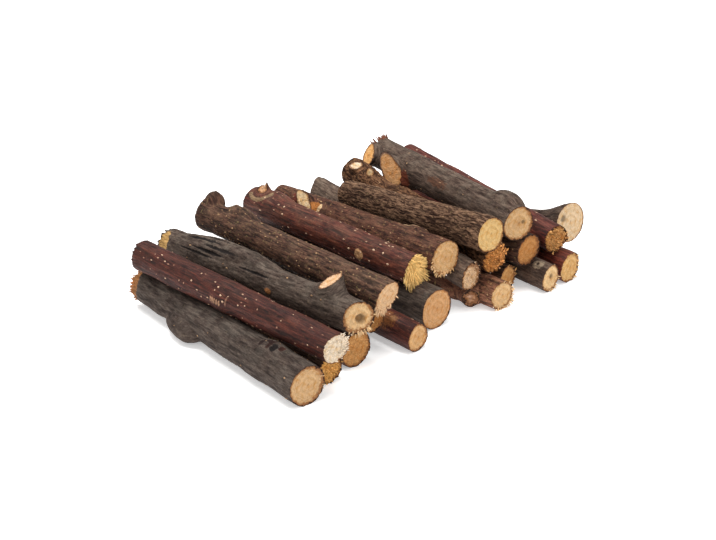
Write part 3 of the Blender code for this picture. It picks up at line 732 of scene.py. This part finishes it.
def bark_material(name, deep, middle, pale, weathered_and_lit, lichen, streak_wide, streak_long, roughness,
                  specular, bump_mm, ridge_pull, crack_share, lichen_share):
    """Bark with streaks that run along the twig, dark cracks, pale ridge tops, an upper side painted greyer
    and lighter, partly weathering and partly a painted highlight from the light above, and small tan crusts."""
    material, tree, shader = new_material(name, roughness, specular)
    grain = add(tree, "ShaderNodeAttribute", out="Vector", attribute_name="grain")
    tint = add(tree, "ShaderNodeAttribute", out="Color", attribute_name="tint")
    ridge = add(tree, "ShaderNodeAttribute", out="Fac", attribute_name="ridge")
    weather = add(tree, "ShaderNodeAttribute", out="Fac", attribute_name="weather")
    patch = tree.nodes.new("ShaderNodeAttribute")
    patch.attribute_name = "patch"
    rates = (1 / streak_wide, 1 / streak_wide, 1 / streak_long)
    stretched = add(tree, "ShaderNodeVectorMath", {0: grain, 1: rates}, operation="MULTIPLY")
    broad = add(tree, "ShaderNodeTexNoise", {"Vector": stretched, "Scale": 0.55, "Detail": 2.0,
                                             "Roughness": 0.6, "Distortion": 0.5})
    narrow = add(tree, "ShaderNodeTexNoise", {"Vector": stretched, "Scale": 1.35, "Detail": 2.0,
                                              "Roughness": 0.6, "Distortion": 0.3})
    streaks = add(tree, "ShaderNodeMath", {0: narrow, 1: 0.85, 2: broad}, operation="MULTIPLY_ADD")
    blotches = add(tree, "ShaderNodeTexNoise", {"Vector": grain, "Scale": 0.16, "Detail": 4.0,
                                                "Roughness": 0.6})
    specks = add(tree, "ShaderNodeTexNoise", {"Vector": grain, "Scale": 1.5, "Detail": 3.0, "Roughness": 0.7})
    crusts = add(tree, "ShaderNodeTexNoise", {"Vector": grain, "Scale": 0.62, "Detail": 3.0,
                                              "Roughness": 0.75})
    low = add(tree, "ShaderNodeMapRange", {"Value": streaks, "From Min": 0.70, "From Max": 0.95})
    base = add(tree, "ShaderNodeMix", {0: low, 6: linear(deep), 7: linear(middle)}, out=2, data_type="RGBA")
    high = add(tree, "ShaderNodeMapRange", {"Value": streaks, "From Min": 0.94, "From Max": 1.20,
                                            "To Max": 0.85})
    base = add(tree, "ShaderNodeMix", {0: high, 6: base, 7: linear(pale)}, out=2, data_type="RGBA")
    patchy = add(tree, "ShaderNodeMapRange", {"Value": blotches, "From Min": 0.40, "From Max": 0.60})
    # The upper side is painted in the lighter weathered colour: partly weathering, partly a painted highlight
    # where the overhead light falls.
    weathered_lit_share = add(tree, "ShaderNodeMath", {0: weather, 1: patchy}, operation="MULTIPLY")
    weathered_lit_tone = add(tree, "ShaderNodeMapRange", {"Value": streaks, "From Min": 0.8, "From Max": 1.1,
                                                 "To Min": 0.55, "To Max": 1.15})
    weathered_lit_colour = add(tree, "ShaderNodeVectorMath", {0: linear(weathered_and_lit)[:3], "Scale": weathered_lit_tone},
                      operation="SCALE")
    base = add(tree, "ShaderNodeMix", {0: weathered_lit_share, 6: base, 7: weathered_lit_colour}, out=2, data_type="RGBA")
    furrow = add(tree, "ShaderNodeMapRange", {"Value": ridge, "From Min": 0.0, "From Max": 0.45,
                                              "To Min": ridge_pull, "To Max": 0.0})
    base = add(tree, "ShaderNodeMix", {0: furrow, 6: base, 7: linear(deep)}, out=2, data_type="RGBA")
    crest = add(tree, "ShaderNodeMapRange", {"Value": ridge, "From Min": 0.55, "From Max": 1.0, "To Min": 0.0,
                                             "To Max": ridge_pull})
    base = add(tree, "ShaderNodeMix", {0: crest, 6: base, 7: linear(pale)}, out=2, data_type="RGBA")
    crust = add(tree, "ShaderNodeMapRange", {"Value": crusts, "From Min": 0.60, "From Max": 0.68,
                                             "To Min": 0.0, "To Max": lichen_share})
    base = add(tree, "ShaderNodeMix", {0: crust, 6: base, 7: linear(lichen)}, out=2, data_type="RGBA")
    cracks = add(tree, "ShaderNodeTexNoise", {"Vector": stretched, "Scale": 0.8, "Detail": 2.0,
                                              "Distortion": 0.8})
    crack = add(tree, "ShaderNodeMath", {0: cracks, 1: 0.5}, operation="SUBTRACT")
    crack = add(tree, "ShaderNodeMath", {0: crack}, operation="ABSOLUTE")
    crack = add(tree, "ShaderNodeMapRange", {"Value": crack, "From Min": 0.0, "From Max": 0.035,
                                             "To Min": crack_share, "To Max": 0.0})
    crack_where = add(tree, "ShaderNodeMapRange", {"Value": blotches, "From Min": 0.56, "From Max": 0.42})
    crack = add(tree, "ShaderNodeMath", {0: crack, 1: crack_where}, operation="MULTIPLY")
    base = add(tree, "ShaderNodeMix", {0: crack, 6: base, 7: linear("#120C09")}, out=2, data_type="RGBA")
    speckled = add(tree, "ShaderNodeMapRange", {"Value": specks, "From Min": 0.3, "From Max": 0.7,
                                                "To Min": 0.68, "To Max": 1.32})
    base = add(tree, "ShaderNodeVectorMath", {0: base, "Scale": speckled}, operation="SCALE")
    base = add(tree, "ShaderNodeVectorMath", {0: base, 1: tint}, operation="MULTIPLY")
    torn_edge = add(tree, "ShaderNodeMath", {0: crusts, 1: 1.3, 2: patch.outputs["Alpha"]},
                    operation="MULTIPLY_ADD")
    patch_share = add(tree, "ShaderNodeMapRange", {"Value": torn_edge, "From Min": 0.92, "From Max": 1.12})
    patch_tone = add(tree, "ShaderNodeMapRange", {"Value": narrow, "From Min": 0.35, "From Max": 0.65,
                                                  "To Min": 0.55, "To Max": 1.15})
    patch_tone = add(tree, "ShaderNodeMath", {0: patch_tone, 1: speckled}, operation="MULTIPLY")
    patch_colour = add(tree, "ShaderNodeVectorMath", {0: patch.outputs["Color"], "Scale": patch_tone},
                       operation="SCALE")
    base = add(tree, "ShaderNodeMix", {0: patch_share, 6: base, 7: patch_colour}, out=2, data_type="RGBA")
    tree.links.new(base, shader.inputs["Base Color"])
    gloss = add(tree, "ShaderNodeMapRange", {"Value": streaks, "From Min": 0.75, "From Max": 1.1,
                                             "To Min": min(roughness + 0.12, 1.0), "To Max": roughness
                                             - 0.06})
    tree.links.new(gloss, shader.inputs["Roughness"])
    height = add(tree, "ShaderNodeMath", {0: crack, 1: -1.2, 2: streaks}, operation="MULTIPLY_ADD")
    height = add(tree, "ShaderNodeMath", {0: specks, 1: 0.7, 2: height}, operation="MULTIPLY_ADD")
    bump = add(tree, "ShaderNodeBump", {"Strength": 1.0, "Distance": bump_mm * MM, "Height": height})
    tree.links.new(bump, shader.inputs["Normal"])
    return material


sawn_wood = sawn_wood_material()
torn_fibre = fibre_material()
pale_pore = pore_material("pale_cork_pore", browner="#8E6452", paler="#D0AE90")
tan_pore = pore_material("tan_cork_pore", browner="#6E523E", paler="#B08C68")


def grow_twig(name, bark, seed, near_cut=None, far_cut=None, detail=FINE, swell=(), bow=(0, 0),
              oval=(0.03, 20), uneven=0.16, marks=(), stubs=(), tint=(1.0, 1.0, 1.0), pores=None,
              weather=None, relief=1.0, fibres=(60.0, 0.9, 0.35), ridges=None):
    """Grow one twig over its CAD solid, and let it ride and stand for that solid."""
    near_cut = near_cut or cut()
    far_cut = far_cut or cut()
    twig = Twig(name, seed, swell, bow, oval, marks, uneven)
    # The tint scales this twig's bark colour. It is partly the twig's own colour and partly painted light: the
    # bark of twigs that lie in shade deep in the bundle is made lighter.
    own_bark = dict(bark, tint=(*tint, 1.0))
    chance = np.random.default_rng(seed + 900)
    shells = [tube_shells(twig, detail["sides"], detail["rings"], own_bark, near_cut, far_cut)]
    for stub in stubs:
        shells.append(stub_shell(twig, own_bark, chance, **stub))
    for part in shells:
        along, around = twig.locate(part["places"])
        plain = twig.plain_radius(along)
        patch = np.zeros((len(along), 4))
        for place in marks:
            if place["colour"]:
                share = np.clip(bell(reach_of(place, along, around, plain), 0.8) * place["amount"], 0, 1)
                share = share * part["is_bark"]
                stronger = share > patch[:, 3]
                patch[stronger] = np.column_stack([np.tile(linear(place["colour"])[:3], (stronger.sum(), 1)),
                                                   share[stronger]])
        part["patch"] = patch
        # The side of each twig that faces up as it lies gets the lighter weathered colour: partly weathering,
        # partly a painted highlight from the overhead light.
        up = np.cos(around)
        weathered_lit_share = own_bark["weather"] if weather is None else weather
        part["weather"] = np.clip(weathered_lit_share * (0.35 + 0.65 * up), 0, 1) * part["is_bark"]
        from_end = np.minimum(along, twig.length - along)
        part["relief"] = part["is_bark"] * relief * np.clip(from_end / 1.5, 0.3, 1)
        part["pores"] = part["is_bark"] * (from_end > 2.0) * 1.0
        part["grain"] = part["grain"] + np.array([0, 0, seed * 37.0]) * part["is_bark"][:, None]
    for stub_part in shells[1:]:
        stub_part["pores"] = stub_part["pores"] * 0
    pores = own_bark["pores"] if pores is None else pores
    modifiers = [
        (bark_ridges, dict(own_bark["ridges"], Seed=float(seed), **(ridges or {}))),
        (bark_pores, {"Pores per cm2": pores[0], "Least Spacing": 1.9, "Pore Size": pores[1], "Seed": seed,
                      "Pore Material": own_bark["pore"]}),
        (torn_fibres, {"Fibres per cm2": fibres[0], "Fibre Width": fibres[1], "Stray": fibres[2],
                       "Seed": seed,
                       "Fibre Material": torn_fibre}),
    ]
    piece = as_piece(name + "_grown", shells, (own_bark["material"], sawn_wood, own_bark["pore"],
                                               torn_fibre), modifiers)
    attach(piece, "root")
    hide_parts(name)
    return piece


RED_BARK = {
    "slot": "red_bark",
    "material": bark_material("smooth_red_fruitwood_bark", deep="#1D0C09", middle="#441C17", pale="#6A392E",
                              weathered_and_lit="#5A4034", lichen="#8A6A50", streak_wide=0.8, streak_long=8.0,
                              roughness=0.58, specular=0.25, bump_mm=0.14, ridge_pull=0.25, crack_share=0.4,
                              lichen_share=0.25),
    "ridges": {"Ridge Height": 0.18, "Ridge Width": 0.9, "Ridge Length": 10.0, "Wander": 2.0,
               "Fine Height": 0.14,
               "Sharpness": 1.2},
    "weather": 0.30,
    "pore": pale_pore,
    "pores": (1.9, 1.45),
}

grow_twig("red_twig_front", RED_BARK, 11, near_cut=cut(tint="#E2D0B8", heart=0.0, ragged=0.2, coarse=0.7,
                                                       rim=0.5, fray=3.0, fray_around=85, fray_spread=70,
                                                       fray_from=0.35, fray_long=0.9, fray_off=0.1,
                                                       fray_fan=0.5),
          far_cut=cut(tint="#B98A5C", torn=0.2, ragged=0.5), swell=[(66, 0.5, 6)], tint=(0.76, 0.60, 0.46),
          pores=(2.6, 1.2), marks=[mark(66, -80, 12, 12, 0.6), mark(119, -60, 9, 16, -0.5),
                                   mark(60.5, -74, 1.4, 6.0, 0.4, colour="#7E5844", amount=0.8)]
          + [mark(70 - 1.5 * tooth, -88, 1.5, 3.4, 0.5, colour="#9C7458", amount=0.9)
             for tooth in range(5)], fibres=(110.0, 0.8, 0.25))
grow_twig("low_red_twig_middle", RED_BARK, 12, near_cut=cut(tint="#CFA472"), far_cut=cut(tint="#C99A66"),
          detail=PLAIN, tint=(0.78, 0.60, 0.5), marks=[mark(17, -42, 20, 13, 0.5, colour="#7C4A26",
                                                            amount=0.55),
                                                       mark(13, -30, 6, 5, 0.5, colour="#8E6038",
                                                            amount=0.6),
                                                       mark(21, -56, 5, 5, 0.5, colour="#8E6038",
                                                            amount=0.6)])
grow_twig("red_twig_middle", RED_BARK, 13, near_cut=cut(tint="#F0C67C", heart=0.0, torn=0.4, ragged=0.3,
                                                        coarse=0.9, rim=0.6, fray=2.4, fray_around=150,
                                                        fray_spread=130, fray_from=0.0, fray_long=3.3,
                                                        fray_fan=0.55), far_cut=cut(tint="#C99A66"),
          swell=[(106, 0.4, 8)], pores=(2.8, 1.45), weather=0.4, tint=(1.3, 1.3, 1.05),
          marks=[mark(30, -88, 7, 6.5, 0.7, colour="#A97F58", amount=1.1), mark(30, -88, 2.5, 2.5, -0.5),
                 mark(97, 30, 22, 10, 1.6)] + [mark(107 - 6.5 * math.cos(math.radians(turned)), -2 - 46
                                                    * math.sin(math.radians(turned)), 3.2, 3.2, 0.4,
                                                    colour="#80664A", amount=0.8)
                                               for turned in range(0, 140, 15)],
          stubs=[dict(along=107, around=-2, lean=-4, wide=5.4, high=1.0, face_around=-20, face_lean=12,
                      tint="#E0B896", rim_wide=1.2, spike=4.0)], fibres=(80.0, 0.62, 0.4))
grow_twig("red_twig_back", RED_BARK, 14, near_cut=cut(tint="#E0A666", torn=0.8, ragged=0.3, coarse=2.6,
                                                      fray=0.5, fray_around=130, fray_spread=120,
                                                      fray_from=0.0, fray_long=1.0, fray_fan=0.2),
          far_cut=cut(tint="#A8784C"), marks=[mark(103, -30, 7, 4, 0.4, colour="#B08A68")], detail=PLAIN,
          tint=(1.2, 0.9, 0.78), fibres=(60.0, 1.1, 0.8))
grow_twig("low_red_twig_back", RED_BARK, 15, near_cut=cut(tint="#D6AC72", ragged=0.25, coarse=0.8, fray=2.4,
                                                          fray_around=110, fray_spread=55, fray_long=0.7),
          far_cut=cut(tint="#C99A66"), detail=PLAIN, tint=(1.5, 1.05, 0.85))


# The grey twigs: older wood, from 12 to 18 mm thick, whose bark is grey-brown on top, partly by weathering and
# # partly as a painted highlight where the light above falls, and purple-brown below. Fine shallow fissures
# run along it,
# # and the biggest twigs carry knobs.
GREY_BARK = {
    "slot": "grey_bark",
    "material": bark_material("weathered_grey_fruitwood_bark", deep="#231A16", middle="#3E322C",
                              pale="#5A4D44",
                              weathered_and_lit="#554C44", lichen="#7A6A50", streak_wide=1.0, streak_long=6.0,
                              roughness=0.80, specular=0.2, bump_mm=0.20, ridge_pull=0.25, crack_share=0.35,
                              lichen_share=0.22),
    "ridges": {"Ridge Height": 0.24, "Ridge Width": 1.3, "Ridge Length": 9.0, "Wander": 4.0,
               "Fine Height": 0.24,
               "Sharpness": 1.2},
    "weather": 0.8,
    "pore": tan_pore,
    "pores": (0.5, 1.3),
}

grow_twig("thick_grey_twig_front", GREY_BARK, 21, near_cut=cut(tint="#CBA67A", heart=0.0, ragged=0.12,
                                                               coarse=0.4, rim=1.3, fray=1.4,
                                                               fray_around=110, fray_spread=30,
                                                               fray_long=0.6),
          far_cut=cut(tint="#B9763F", torn=0.5, ragged=0.9, coarse=1.0, fray=2.4, fray_around=-90,
                      fray_spread=80, fray_long=0.9, fray_from=0.6, fray_off=0.7, fray_fan=0.3),
          marks=[mark(83, -122, 25, 12, 4.4, edge=0.7), mark(78, -118, 10, 8, 0.7),
                 mark(23, 0, 19, 14, 1.5), mark(21, -8, 4, 5, -1.1, colour="#160E0B"),
                 mark(26.5, 5, 6, 3, -1.0, colour="#24120E"), mark(24, -2, 2.6, 8, -0.7, colour="#2E1A14"),
                 mark(18, 4, 3, 4, -0.7, colour="#3A2018"), mark(29, -10, 3, 5, -0.6, colour="#241612"),
                 mark(124, -78, 8, 20, -0.5, colour="#8E5E36"), mark(88, 96, 24, 8, 0.5)])
grow_twig("grey_twig_with_stub", GREY_BARK, 22, near_cut=cut(tint="#DEB888", heart=0.2, pith=(0.0, 0.0),
                                                             ragged=0.15, coarse=0.5,
                                                             hole=(0.8, -0.5, 2.0, 1.8), rim=1.4, fray=2.8,
                                                             fray_around=160, fray_spread=50,
                                                             fray_long=1.2),
          far_cut=cut(tint="#B98A54", torn=0.5, ragged=0.9, coarse=1.0, fray=2.5, fray_long=1.6,
                      fray_from=0.6), swell=[(20, 0.6, 8)], relief=1.5, tint=(1.25, 1.22, 1.18),
          marks=[mark(16, -8, 28, 16, 1.2), mark(49.5, -90, 5, 4, 0.9, colour="#8A5A34"),
                 mark(84, 36, 66, 20, 3.7, edge=1.0), mark(60, -30, 24, 8, 0.7), mark(102, -40, 30, 8, 0.6),
                 mark(123, -76, 7, 18, -0.6, colour="#B08A54"), mark(60, -44, 30, 1.4, -0.7,
                                                                     colour="#1C1512", amount=0.8)]
          + [mark(100 - 7 * (line % 3), -52 + 17 * line, 30, 1.5, -0.8, colour="#1C1512", amount=0.9)
             for line in range(6)], stubs=[dict(along=18, around=4, lean=2, wide=9.6, high=4.2,
                                                face_around=-22, face_lean=-20, reach=7.0, tint="#F0C8A0",
                                                spike=1.2)])
grow_twig("low_grey_twig_middle", GREY_BARK, 23,
          near_cut=cut(tint="#C8996A", heart=0.2, coarse=0.4, rim=0.7),
          detail=PLAIN, tint=(1.1, 1.08, 1.05))
grow_twig("smooth_grey_twig", GREY_BARK, 24, near_cut=cut(tint="#E4C09A", heart=0.2, torn=0.3, ragged=0.25,
                                                          coarse=2.0, rim=1.7, fray=0.8, fray_around=70,
                                                          fray_long=0.5), detail=PLAIN,
          marks=[mark(124, -15, 6, 6, 1.2, edge=0.7)], tint=(1.85, 1.7, 1.55))
grow_twig("crooked_twig_back", GREY_BARK, 25,
          near_cut=cut(tint="#DCC09C", heart=0.0, coarse=0.25, rim=0.4, hole=(-4.4, 3.0, 1.7, 0.5)),
          detail=PLAIN, swell=[(0, 4.5, 12)], bow=(0, -6), tint=(1.1, 0.95, 0.85))
grow_twig("low_grey_twig_back", GREY_BARK, 26, near_cut=cut(tint="#DFBC8C", heart=0.3, ragged=0.2,
                                                            coarse=0.6, hole=(0.4, 1.2, 1.3, 0.7), fray=3.0,
                                                            fray_around=150, fray_spread=50, fray_from=0.9,
                                                            fray_long=0.8), detail=PLAIN,
          tint=(1.3, 1.15, 1.05), marks=[mark(6, -23, 8, 7, 0.7, colour="#8A7A66", amount=0.75),
                                         mark(6, -23, 3, 3, -0.5, colour="#2A1C16")])
grow_twig("thick_grey_twig_top", GREY_BARK, 27, near_cut=cut(tint="#CCA678", heart=0.45, coarse=0.4,
                                                             hole=(2.6, 0.6, 1.0, 0.3)),
          far_cut=cut(tint="#7A4A35", torn=0.5, ragged=1.0, coarse=1.0, fray=2.4, fray_around=-14,
                      fray_spread=32, fray_long=2.0, fray_fan=0.5, fray_off=0.6, fray_from=0.8),
          fibres=(30.0, 1.5, 0.15), tint=(1.5, 1.38, 1.28), marks=[mark(13, 30, 23, 16, 4.2, edge=1.0),
                                                                   mark(89, -112, 10, 14, 0.4,
                                                                        colour="#6A3624", amount=0.85),
                                                                   mark(95, -140, 24, 11, 2.8, edge=1.0),
                                                                   mark(60, -60, 26, 7, 0.2,
                                                                        colour="#5E4030", amount=0.6)],
          stubs=[dict(along=105.0, around=-100, lean=40, wide=11.6, high=5.8, face_around=-76, face_lean=28,
                      tint="#E8B07A", reach=5.0, drops=((2.6, 1.05),)),
                 dict(along=117.5, around=-80, lean=-12, wide=10.6, high=3.4, face_around=-66, face_lean=-6,
                      tint="#EEB878", drops=((3.1, 0.3),))])


# The brown twigs: shoots of two or three years, 12 to 16 mm thick, with rough brown bark that is streaked
# along its length and set with many tan pores. Several show only their sawn ends under the others.
BROWN_BARK = {
    "slot": "brown_bark",
    "material": bark_material("streaked_brown_fruitwood_bark", deep="#1A0F0B", middle="#40281F",
                              pale="#6B4B3A",
                              weathered_and_lit="#5E4A3A", lichen="#8C7A50", streak_wide=0.8, streak_long=6.0,
                              roughness=0.74, specular=0.2, bump_mm=0.20, ridge_pull=0.4, crack_share=0.6,
                              lichen_share=0.55),
    "ridges": {"Ridge Height": 0.30, "Ridge Width": 1.0, "Ridge Length": 7.0, "Wander": 3.0,
               "Fine Height": 0.24,
               "Sharpness": 1.2},
    "weather": 0.5,
    "pore": tan_pore,
    "pores": (2.6, 1.45),
}

grow_twig("hooked_brown_twig", BROWN_BARK, 31, near_cut=cut(tint="#D6B088", heart=0.0, torn=0.12,
                                                            ragged=0.15, coarse=0.6, rim=0.8, fray=3.4,
                                                            fray_around=190, fray_spread=50, fray_long=1.3,
                                                            fray_from=0.88), swell=[(126, 0.8, 6)],
          pores=(3.4, 1.4), tint=(1.08, 1.08, 1.05), marks=[mark(122.5, 28, 9, 12, 4.2, edge=0.9),
                                                            mark(124, 6, 8, 9, 1.0),
                                                            mark(102, 34, 24, 14, 3.4),
                                                            mark(108, 36, 6, 6, 0.8)])
grow_twig("brown_twig_with_stub", BROWN_BARK, 32, near_cut=cut(tint="#D8AE7C", heart=0.15, torn=0.12,
                                                               ragged=0.2, coarse=0.9, fray=2.6,
                                                               fray_around=-150, fray_spread=60,
                                                               fray_from=0.88, fray_long=0.8),
          tint=(1.2, 1.0, 0.92), pores=(2.8, 1.4), marks=[mark(21, 31, 12, 10, 1.6, edge=0.9),
                                                          mark(26, 24, 12, 1.6, 0.4, colour="#B08E6E"),
                                                          mark(84, -54, 8, 9, 0.6, colour="#A0642F",
                                                               amount=1.1),
                                                          mark(81.5, -46, 2.6, 6, 0.6, colour="#C8A880",
                                                               amount=1.1),
                                                          mark(99, -28, 9, 9, 1.2, colour="#6A3426",
                                                               amount=0.9)],
          # The stub's cut is painted nearly white. This is partly its pale wood and partly painted light, for
          # a face that turns away from the lamps into shade.
          stubs=[dict(along=91, around=-44, lean=-6, wide=8.2, high=2.4, face_around=-68, face_lean=2,
                      tint="#FFE2B4", spike=1.8, spike_at=3.1, drops=((5.3, 0.75), (2.1, 0.5)))])
grow_twig("tucked_brown_twig", BROWN_BARK, 33, near_cut=cut(tint="#B07A44", torn=0.3, coarse=1.0),
          detail=HIDDEN)
grow_twig("low_brown_twig_front", BROWN_BARK, 34, near_cut=cut(tint="#E6AC60", torn=0.4, ragged=0.2,
                                                               coarse=2.0, fray=0.8, fray_from=0.0,
                                                               fray_spread=180, fray_long=1.1,
                                                               fray_fan=0.1), detail=HIDDEN,
          fibres=(60.0, 0.8, 0.8))
grow_twig("low_brown_twig_second", BROWN_BARK, 35, near_cut=cut(tint="#C89258", torn=0.25, coarse=1.2),
          detail=HIDDEN)
# This twig's bark is painted nearly three times lighter. That is painted light for a twig that lies in shade
# under the others.
grow_twig("low_knobbed_twig", BROWN_BARK, 36, near_cut=cut(tint="#D8B282", heart=0.0, ragged=0.25,
                                                           coarse=0.7, fray=4.4, fray_around=130,
                                                           fray_spread=65, fray_from=0.88, fray_long=1.2),
          tint=(2.9, 2.6, 2.4), detail=PLAIN, fibres=(90.0, 0.8, 0.3),
          marks=[mark(29, -108, 40, 17, 4.6, edge=0.9)], stubs=[dict(along=17.5, around=-101, lean=32,
                                                                     wide=8.0, high=5.0, face_around=-84,
                                                                     face_lean=44, reach=8.0,
                                                                     tint="#E0B498", rim_wide=2.6)])
grow_twig("low_brown_twig_third", BROWN_BARK, 37, near_cut=cut(tint="#CC985E", ragged=0.25, coarse=1.0,
                                                               fray=2.6, fray_around=95, fray_long=0.8,
                                                               fray_from=0.9), detail=HIDDEN)
grow_twig("oval_cut_twig", BROWN_BARK, 38, near_cut=cut(tint="#BC844C", heart=-0.5, torn=0.15, coarse=0.8,
                                                        rim=1.6), detail=HIDDEN)


# The ridged twigs: the oldest wood, about 15 mm thick, in corky bark of wandering tan ridges 1 mm wide
# over dark brown. One of them ends in a gnarled head with two small pruned cuts.
RIDGED_BARK = {
    "slot": "ridged_bark",
    "material": bark_material("ridged_corky_fruitwood_bark", deep="#24150E", middle="#442E22", pale="#8C6C54",
                              weathered_and_lit="#685442", lichen="#8C7A50", streak_wide=0.8, streak_long=4.0,
                              roughness=0.88, specular=0.15, bump_mm=0.24, ridge_pull=0.7, crack_share=0.4,
                              lichen_share=0.3),
    "ridges": {"Ridge Height": 0.55, "Ridge Width": 0.62, "Ridge Length": 6.0, "Wander": 3.5,
               "Fine Height": 0.2,
               "Sharpness": 1.3},
    "weather": 0.25,
    "pore": tan_pore,
    "pores": (0.5, 1.2),
}

grow_twig("gnarled_twig", RIDGED_BARK, 41,
          near_cut=cut(tint="#DE9A56", heart=0.0, torn=0.7, ragged=0.5, coarse=2.4, fray=0.9, fray_around=100,
                       fray_spread=140, fray_from=0.0, fray_long=0.9, fray_fan=0.3),
          swell=[(121, 0.8, 9)], tint=(1.0, 0.85, 0.70), fibres=(60.0, 1.2, 0.8),
          marks=[mark(117, -60, 12, 10, 0.8), mark(104, -50, 12, 8, 1.0), mark(120, -10, 8, 9, 1.0),
                 mark(91, 34, 28, 20, -2.1, edge=1.2)],
          stubs=[dict(along=110, around=-28, lean=-8, wide=7.0, high=1.3, face_around=-12, face_lean=4,
                      tint="#F0DCC0"),
                 dict(along=101, around=-22, lean=8, wide=4.6, high=1.0, face_around=-40, face_lean=30,
                      tint="#D9BF98")])
grow_twig("ridged_twig_top", RIDGED_BARK, 42, near_cut=cut(tint="#D6B278", heart=0.0, torn=0.08, ragged=0.12,
                                                           coarse=0.35, rim=0.6),
          detail={"sides": 140, "rings": 260})
